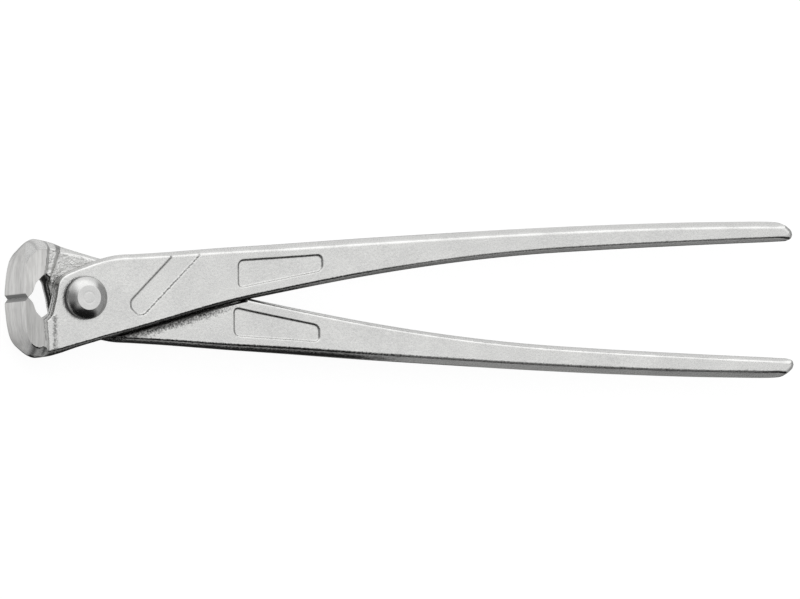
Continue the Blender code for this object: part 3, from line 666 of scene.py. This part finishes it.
def cutBore(mesh):
    # Takes the rivet's bore out of a lever with a Boolean, under the rivet's heads.
    item = linked("boreWork", mesh)
    bm = bmesh.new()
    bmesh.ops.create_cone(bm, cap_ends=True, segments=lever["boreSides"],
                          radius1=lever["boreRadius"], radius2=lever["boreRadius"],
                          depth=lever["boreLength"] * jawHalf)
    tool = bpy.data.meshes.new("boreTool")
    bm.to_mesh(tool)
    bm.free()
    cutter = linked("boreTool", tool)
    change = item.modifiers.new("bore", "BOOLEAN")
    change.operation, change.solver, change.object = "DIFFERENCE", "EXACT", cutter
    bpy.context.view_layer.update()
    done = bpy.data.meshes.new_from_object(item.evaluated_get(bpy.context.evaluated_depsgraph_get()))
    for thing in (item, cutter):
        bpy.data.objects.remove(thing)
    return done


def addPiece(name, mesh, body, node, material, sharpAngle):
    # Finished piece at the origin, riding on its body and standing for its frame node.
    mesh.name = name
    mesh.shade_smooth()
    mesh.set_sharp_from_angle(angle=math.radians(sharpAngle))
    mesh.materials.clear()
    mesh.materials.append(material)
    item = linked(name, mesh)
    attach(item, body)
    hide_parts(node)
    return item


rivet = dict(
    flatRadius=3.85 * mm,
    flatPoints=26,
    ringRadius=1.75 * mm,       # faint turned ring on the flat
    ringWidth=0.22 * mm,
    ringDepth=0.06 * mm,
    sideShare=0.38,             # upright side, as a share of the head's height
    flankAngles=(math.radians(36), math.radians(62)),   # at the flat and above the side
    flankPoints=20,
    edgeRound=0.25 * mm,
    edgeDrop=0.35,              # of that rounding, as a share of its width
    edgePoints=6,
    shankRadius=4.0 * mm,
    turnSteps=144,
    sharpAngle=30,
    clearance=0.001 * mm,       # keeps the flat just inside the frame's box
    light=(0.74, 0.74, 0.73, 1),
    dull=(0.64, 0.64, 0.635, 1),
    # near-black painted shade in the crease round the head's foot
    creaseShade=(0.012, 0.012, 0.012, 1),
    creaseShadeLow=7.0 * mm,           # over the middle plane: all painted shade below, none above the next height
    creaseShadeHigh=7.7 * mm,
    creaseShadeUneven=0.3 * mm,
    creaseShadeRougher=0.2,
    roughness=0.20,
    roughnessSpread=0.08,
    wobble=(700, 2.0),          # noises, as in zinc
    fine=(2200, 2.0),
    cloud=(220, 3.0, 0.6),
    cloudShare=0.6,             # the rest of the shade is fine's
    shade=(0.35, 0.65),
    fineHeight=0.014 * mm,
    turnPitch=0.28 * mm,        # from one turning mark to the next
    turnWobble=3.0,             # radians that a mark wanders
    turnHeight=0.0006 * mm,
    turnRougher=0.02,
)


def rivetOutline():
    # Half outline from the axis to the head's foot: ringed flat, round edge, flank, upright side.
    radius, top = rivetHigh[0], rivetHigh[2] - rivet["clearance"]
    base = lever["plateRise"] + lever["runningGap"] / 2
    side = base + (top - base) * rivet["sideShare"]
    flat = rivet["flatRadius"]
    r = np.linspace(0, flat - rivet["edgeRound"], rivet["flatPoints"])
    dip = rivet["ringDepth"] * np.exp(-((r - rivet["ringRadius"]) / rivet["ringWidth"]) ** 2)
    face = np.stack([r, top - dip], axis=1)
    start, end = rivet["flankAngles"]
    tilt = np.linspace(0, start, rivet["edgePoints"])[1:]
    fall = rivet["edgeDrop"] * rivet["edgeRound"] * (1 - np.cos(tilt)) / (1 - math.cos(start))
    edge = np.stack([flat + rivet["edgeRound"] * (np.sin(tilt) / math.sin(start) - 1),
                     top - fall], axis=1)
    turn = np.linspace(start, end, rivet["flankPoints"])[1:]
    spread = (np.sin(turn) - math.sin(start)) / (math.sin(end) - math.sin(start))
    drop = (math.cos(start) - np.cos(turn)) / (math.cos(start) - math.cos(end))
    flank = np.stack([flat + (radius - flat) * spread,
                      edge[-1, 1] - (edge[-1, 1] - side) * drop], axis=1)
    foot = np.array([(radius, blend(side, base, 0.5)), (radius, base),
                     (rivet["shankRadius"], base), (rivet["shankRadius"], 0)])
    return np.vstack([face, edge, flank, foot])


def turnedMesh(name, outline):
    # Outline carried round Z on a grid: (r cos a, r sin a, z), whole from top to bottom.
    whole = np.vstack([outline, outline[-2::-1] * (1, -1)])
    angle = np.linspace(0, 2 * math.pi, rivet["turnSteps"], endpoint=False)
    ring = np.stack([whole[:, None, 0] * np.cos(angle), whole[:, None, 0] * np.sin(angle),
                     whole[:, None, 1] + 0 * angle], axis=-1)
    return gridMesh(name, ring + pivot, {})


class Wire:
    # A socket that does sums: each operator on it adds one Math node.
    def __init__(self, board, socket):
        self.board, self.socket = board, socket

    def math(self, kind, first, second=0.0):
        return self.board.node("Math", {0: first, 1: second}, {"operation": kind})

    def __add__(self, other):
        return self.math("ADD", self, other)

    def __sub__(self, other):
        return self.math("SUBTRACT", self, other)

    def __rsub__(self, other):
        return self.math("SUBTRACT", other, self)

    def __mul__(self, other):
        return self.math("MULTIPLY", self, other)

    __radd__ = __add__
    __rmul__ = __mul__


class Board:
    # A node tree. node() adds one node with its settings, and its socket values or links.
    def __init__(self, owner):
        owner.use_nodes = True
        self.tree = owner.node_tree
        self.tree.nodes.clear()

    def node(self, kind, sockets=None, settings=None, out=0):
        made = self.tree.nodes.new("ShaderNode" + kind)
        for name, value in (settings or {}).items():
            setattr(made, name, value)
        for name, value in (sockets or {}).items():
            if isinstance(value, Wire):
                self.tree.links.new(value.socket, made.inputs[name])
            else:
                made.inputs[name].default_value = value
        return Wire(self, made.outputs[out]) if len(made.outputs) else made

    def mixColour(self, share, first, second):
        # The first colour, moved towards the second by the share.
        return self.node("Mix", {0: share, 6: first, 7: second}, {"data_type": "RGBA"}, out=2)

    def vector(self, kind, first, second=(0, 0, 0), out=0):
        return self.node("VectorMath", {0: first, 1: second}, {"operation": kind}, out)

    def rays(self):
        # 1 for the camera's rays and those through clear things, and 1 for glossy ones.
        camera, through, glossy = (self.node("LightPath", out=name) for name in (
            "Is Camera Ray", "Is Transmission Ray", "Is Glossy Ray"))
        return camera + through, glossy

    def metal(self, colour, paintedShade, roughness, height):
        # Metal wherever there is no painted shade, its height in metres as a bump, to the output.
        bump = self.node("Bump", {
            "Strength": 1.0, "Distance": 1.0, "Height": height})
        shader = self.node("BsdfPrincipled", {
            "Base Color": colour, "Metallic": 1 - paintedShade, "Roughness": roughness, "Normal": bump,
            "Specular IOR Level": zinc["specular"]})
        self.node("OutputMaterial", {"Surface": shader})

    def mask(self, name):
        return self.node("Attribute", settings={"attribute_name": name}, out="Fac")

    def step(self, value, low, high, soft=False):
        # 0 below low, 1 above high, straight or eased between them.
        kind = "SMOOTHSTEP" if soft else "LINEAR"
        return self.node("MapRange", {0: value, 1: low, 2: high}, {"interpolation_type": kind})

    def noise(self, place, scale, detail=2.0, rough=0.5, stretch=None):
        # Noise 0 to 1 at so many grains a metre, stretched by a Mapping where asked.
        if stretch:
            place = self.node("Mapping", {"Vector": place, "Scale": stretch})
        return self.node("TexNoise", {
            "Vector": place, "Scale": scale, "Detail": detail, "Roughness": rough})


zinc = dict(
    light=(0.79, 0.79, 0.775, 1),
    dull=(0.62, 0.62, 0.615, 1),
    groundLight=(0.80, 0.795, 0.78, 1),
    groundDull=(0.54, 0.535, 0.525, 1),
    # painted shade on the jaw's bevels and pads
    bevelAndPadShadeColour=(0.31, 0.31, 0.305, 1),
    # lighter zinc on the rounded edges: wear and a painted highlight
    wearAndHighlightColour=(0.88, 0.88, 0.87, 1),
    # near black: painted shade and painted shadow in corners, creases and along the dark edges
    paintedShadeColour=(0.012, 0.012, 0.0115, 1),
    specular=0.15,              # faint gloss of the painted shade, which isn't metal
    roughness=0.28,
    roughnessSpread=0.10,
    groundRoughness=0.34,
    recessRougher=0.06,
    wearAndHighlightSmoother=0.07,
    paintedShadeRougher=0.35,
    # Noises: grains a metre, detail, roughness and, where drawn out, the stretch
    peel=(1000, 1.5),           # orange peel
    fine=(2300, 2.0),
    cloud=(90, 3.0, 0.6),
    coarse=(900, 2.5, 0.65),
    speck=(1900, 2.5, 0.6),
    streak=(1900, 3.0, 0.6, (1, 0.10, 1)),
    broad=(550, 2.0, 0.5, (1, 0.05, 1)),
    # How they mix, and the values between which each shade goes from none to all
    fineShare=0.65,             # the rest of the forged shade is cloud's
    fineShade=(0.36, 0.64),
    cloudShade=(0.35, 0.65),
    streakShare=0.6,            # the rest of the ground grain is broad's
    grainShade=(0.38, 0.62),
    wearAndHighlightFine=0.3,
    wearAndHighlightShade=(0.42, 0.78),
    wearAndHighlightShare=0.8,
    paintedShadeSpeck=1.2,
    paintedShadeRange=(0.24, 0.76),
    peelHeight=0.06 * mm,
    fineHeight=0.05 * mm,
    coarseHeight=0.60 * mm,
    streakHeight=0.03 * mm,
)
noiseMiddle = 0.5


def leverSteel():
    # Bright zinc over a forged skin with orange peel; ground faces with fine streaks along Y.
    material = bpy.data.materials.new("leverZinc")
    board = Board(material)
    place = board.node("TexCoord", out="Object")
    ground, rough, bevelAndPadShade, wearAndHighlight, paintedShade = (board.mask(name) for name in (
        "ground", "rough", "bevelAndPadShade", "wearAndHighlight", "paintedShade"))
    peel, fine, cloud, coarse, speck, streak, broad = (board.noise(place, *zinc[name]) for name in (
        "peel", "fine", "cloud", "coarse", "speck", "streak", "broad"))

    skin = board.step(fine, *zinc["fineShade"]) * zinc["fineShare"]
    skin = skin + board.step(cloud, *zinc["cloudShade"]) * (1 - zinc["fineShare"])
    forged = board.mixColour(skin, zinc["dull"], zinc["light"])
    grain = streak * zinc["streakShare"] + broad * (1 - zinc["streakShare"])
    milled = board.mixColour(board.step(grain, *zinc["grainShade"]),
                             zinc["groundDull"], zinc["groundLight"])
    colour = board.mixColour(ground, forged, milled)
    # painted shade on the bevels and part-way on the pads
    colour = board.mixColour(bevelAndPadShade, colour, zinc["bevelAndPadShadeColour"])
    # wear and a painted highlight on the rounded edges, lighter and smoother
    rubbedAndHighlight = wearAndHighlight * board.step(cloud + zinc["wearAndHighlightFine"] * fine, *zinc["wearAndHighlightShade"])
    colour = board.mixColour(rubbedAndHighlight * zinc["wearAndHighlightShare"], colour, zinc["wearAndHighlightColour"])
    # painted shade and painted shadow, speckled, dark and no longer metal where the last mask is full
    shaded = board.step(paintedShade + zinc["paintedShadeSpeck"] * (speck - noiseMiddle), *zinc["paintedShadeRange"])
    colour = board.mixColour(shaded, colour, zinc["paintedShadeColour"])

    forgedRough = zinc["roughness"] + zinc["roughnessSpread"] * (fine - noiseMiddle)
    roughness = forgedRough + ground * (zinc["groundRoughness"] - forgedRough)
    roughness = roughness + rough * zinc["recessRougher"]
    roughness = roughness - rubbedAndHighlight * zinc["wearAndHighlightSmoother"] + shaded * zinc["paintedShadeRougher"]
    bare = 1 - ground
    height = bare * (peel * zinc["peelHeight"] + fine * zinc["fineHeight"])
    height = height + bare * rough * coarse * zinc["coarseHeight"]
    height = height + ground * grain * zinc["streakHeight"]
    board.metal(colour, shaded, roughness, height)
    return material


def rivetSteel():
    # The same zinc over a turned head: rings round the pivot, a finer skin, painted shade in the
    # crease at the head's foot.
    material = bpy.data.materials.new("rivetZinc")
    board = Board(material)
    place = board.node("TexCoord", out="Object")
    centred = board.vector("SUBTRACT", place, tuple(pivot))
    radius = board.vector("LENGTH", board.vector("MULTIPLY", centred, (1, 1, 0)), out="Value")
    level = board.node("SeparateXYZ", {0: centred}, out="Z")
    level = level.math("ABSOLUTE", level)
    wobble, fine, cloud = (board.noise(place, *rivet[name]) for name in ("wobble", "fine", "cloud"))
    turned = radius * (2 * math.pi / rivet["turnPitch"]) + wobble * rivet["turnWobble"]
    ring = turned.math("SINE", turned)
    shade = cloud * rivet["cloudShare"] + fine * (1 - rivet["cloudShare"])
    plated = board.mixColour(board.step(shade, *rivet["shade"]), rivet["dull"], rivet["light"])
    # painted shade in the crease round the head's foot, near black and no longer metal
    level = level + fine * rivet["creaseShadeUneven"]
    crease = 1 - board.step(level, rivet["creaseShadeLow"], rivet["creaseShadeHigh"])
    colour = board.mixColour(crease, plated, rivet["creaseShade"])
    roughness = rivet["roughness"] + rivet["roughnessSpread"] * (fine - noiseMiddle)
    roughness = roughness + rivet["turnRougher"] * ring + rivet["creaseShadeRougher"] * crease
    board.metal(colour, crease, roughness, fine * rivet["fineHeight"] + ring * rivet["turnHeight"])
    return material


leverZinc = leverSteel()


def addLever(side, turn):
    # One lever: surface, bore, then turned over where it is the rear one and moved to the pivot.
    kind = leverKinds[side]
    ring, masks = leverShape(kind)
    mesh = cutBore(gridMesh(side + "Grid", ring, masks))
    mesh.transform(Matrix.Translation(Vector(pivot)) @ turn)
    print(side, "lever", ring.shape, "points,", len(mesh.polygons), "faces")
    addPiece(side + "_lever_forging", mesh, side + "_half", side + "_lever",
             leverZinc, lever["sharpAngle"])


addLever("front", Matrix.Identity(4))
addLever("rear", Matrix.Rotation(math.pi, 4, "X"))
addPiece("rivet_turned", turnedMesh("rivetGrid", rivetOutline()), "rear_half",
         "joint_rivet", rivetSteel(), rivet["sharpAngle"])
print("pieces made")

studio = dict(
    white=(1, 1, 1, 1),
    floorHalf=4.0,
    floorLow=-0.02 * mm,        # just under the tool
    floorColour=(0.95, 0.95, 0.95, 1),
    floorWhite=0.80,            # share of plain white in what the camera sees of the floor
    floorGlow=1.14,
    overhead=1.15,              # soft light straight above
    overheadRise=0.62,          # how much it grows towards +Y
    aheadDimmed=0.60,           # and what it loses there close to the floor
    sides=0.28,                 # light from both ends of the tool
    sidesAhead=0.55,            # and what it gains towards +Y
    tips=0.43,                  # light past the handle tips
    whiteInMetal=0.008,         # share of the white background that the metal mirrors everywhere
    below=1.05,                 # what the edges ahead mirror from below
    belowBehind=0.50,           # what the edges behind mirror from below
    belowJaws=1.14,             # what the front of the jaws mirrors from below
    jawsLess=0.48,              # what that loses towards the tips
    jawsLeast=0.08,             # and the share that is left of it behind
    # Values of a direction's X, Y or Z between which each eases in
    sidesStart=(-0.55, -0.05),
    sidesGain=(0.15, 0.70),
    overheadStart=(-0.80, -0.42),
    dimmedAhead=(0.30, 0.70),
    dimmedUp=(0.0, 0.40),
    aboveJaws=(0.30, 0.75),
    aboveTips=(0.66, 0.84),
    aboveTipsStart=(-0.95, -0.60),
    behindStart=(-0.90, -0.76),
    behindEnd=(-0.52, -0.34),
    behindDown=(0.46, 0.66),
    aheadStart=(0.08, 0.42),
    jawsFade=(-0.34, 0.0),
    jawsStart=(-0.75, 0.10),
    jawsEnd=(0.0, 0.14),
    belowSides=(0.58, 0.85),
    belowTips=(0.52, 0.66),
    belowTipsStart=(-0.85, -0.50),
    horizon=(-0.42, -0.16),
)


def makeFloor():
    # Pale floor that keeps the shadow. Reflections pass through it to the studio's light below.
    half = studio["floorHalf"]
    mesh = bpy.data.meshes.new("floor")
    mesh.from_pydata([(-half, -half, 0), (half, -half, 0), (half, half, 0), (-half, half, 0)],
                     [], [(0, 1, 2, 3)])
    mesh.transform(Matrix.Translation((0, 0, studio["floorLow"])))
    item = linked("floor", mesh)
    material = bpy.data.materials.new("paleFloor")
    board = Board(material)
    shown, glossy = board.rays()
    matt = board.node("BsdfDiffuse", {"Color": studio["floorColour"]})
    white = board.node("Emission", {
        "Color": studio["white"], "Strength": studio["floorGlow"]})
    clear = board.node("BsdfTransparent")
    seen = board.node("MixShader", {
        0: shown * studio["floorWhite"], 1: matt, 2: white})
    mixed = board.node("MixShader", {0: glossy, 1: seen, 2: clear})
    board.node("OutputMaterial", {"Surface": mixed})
    mesh.materials.append(material)


def makeSky():
    # Soft studio by direction: from a dark -Y side it brightens over the top towards +Y, dims at
    # both ends of the tool, and below it is pale ahead, grey behind and pale before the jaws.
    world = bpy.data.worlds.new("studio")
    bpy.context.scene.world = world
    board = Board(world)
    way = board.node("TexCoord", out="Generated")
    dx, dy, dz = (board.node("SeparateXYZ", {0: way}, out=i) for i in range(3))

    def soft(value, name):
        return board.step(value, *studio[name], soft=True)

    sides = studio["sides"] * soft(dy, "sidesStart") + studio["sidesAhead"] * soft(dy, "sidesGain")
    above = (studio["overhead"] + studio["overheadRise"] * dy) * soft(dy, "overheadStart")
    above = above - studio["aheadDimmed"] * soft(dy, "dimmedAhead") * (1 - soft(dz, "dimmedUp"))
    above = above + soft(0 - dx, "aboveJaws") * (sides - above)
    above = above + soft(dx, "aboveTips") * (studio["tips"] * soft(dy, "aboveTipsStart") - above)
    behind = (soft(dy, "behindStart") - soft(dy, "behindEnd")) * soft(0 - dz, "behindDown")
    below = studio["belowBehind"] * behind + studio["below"] * soft(dy, "aheadStart")
    before = studio["belowJaws"] - studio["jawsLess"] * soft(dx, "jawsFade")
    least = studio["jawsLeast"]
    before = before * (least + (1 - least) * soft(dy, "jawsStart"))
    below = below + (1 - soft(dx, "jawsEnd")) * (before - below)
    below = below + soft(0 - dx, "belowSides") * (sides - below)
    below = below + soft(dx, "belowTips") * (studio["tips"] * soft(dy, "belowTipsStart") - below)
    level = below + soft(dz, "horizon") * (above - below)
    shown, glossy = board.rays()
    light = board.node("Background", {"Strength": level})
    white = board.node("Background", {"Color": studio["white"], "Strength": 1.0})
    mixed = board.node("MixShader", {
        0: shown + glossy * studio["whiteInMetal"], 1: light, 2: white})
    board.node("OutputWorld", {"Surface": mixed})


view = dict(
    towardsJaws=math.radians(20),
    towardsFront=math.radians(1.9),
    distance=6.7,               # farther off, the frame's own side views would cut the tool away
    pixelsPerMetre=3300,
    pictureWidth=800,
    sensorWidth=36.0,
    aimX=102.91 * mm,           # from the pivot to what the picture's centre shows
    aimY=-0.12 * mm,
    roll=0.0018,                # lowers the handle tips a little
    clipDistances=10,
)


def makeCamera():
    # Long lens at the picture's viewing angle, aimed along the tool from over the jaws.
    data = bpy.data.cameras.new("camera")
    item = linked("camera", data)
    bpy.context.scene.camera = item
    a, b = view["towardsJaws"], view["towardsFront"]
    back = Vector((-math.sin(a) * math.cos(b), -math.sin(b), math.cos(a) * math.cos(b)))
    level = (Vector((0, back.z, -back.y))).normalized()
    up = Matrix.Rotation(view["roll"], 3, back) @ level
    right = up.cross(back).normalized()
    aim = Vector(pivot) + Vector((view["aimX"], view["aimY"], 0))
    turn = Matrix((right, up, back)).transposed().to_4x4()
    item.matrix_world = Matrix.Translation(aim + back * view["distance"]) @ turn
    data.sensor_width = view["sensorWidth"]
    shown = view["pictureWidth"] / view["pixelsPerMetre"]
    data.lens = view["sensorWidth"] * view["distance"] / shown
    data.clip_end = view["clipDistances"] * view["distance"]


makeFloor()
makeSky()
makeCamera()
bpy.context.scene.view_settings.view_transform = "Standard"
print("floor, light and camera set")
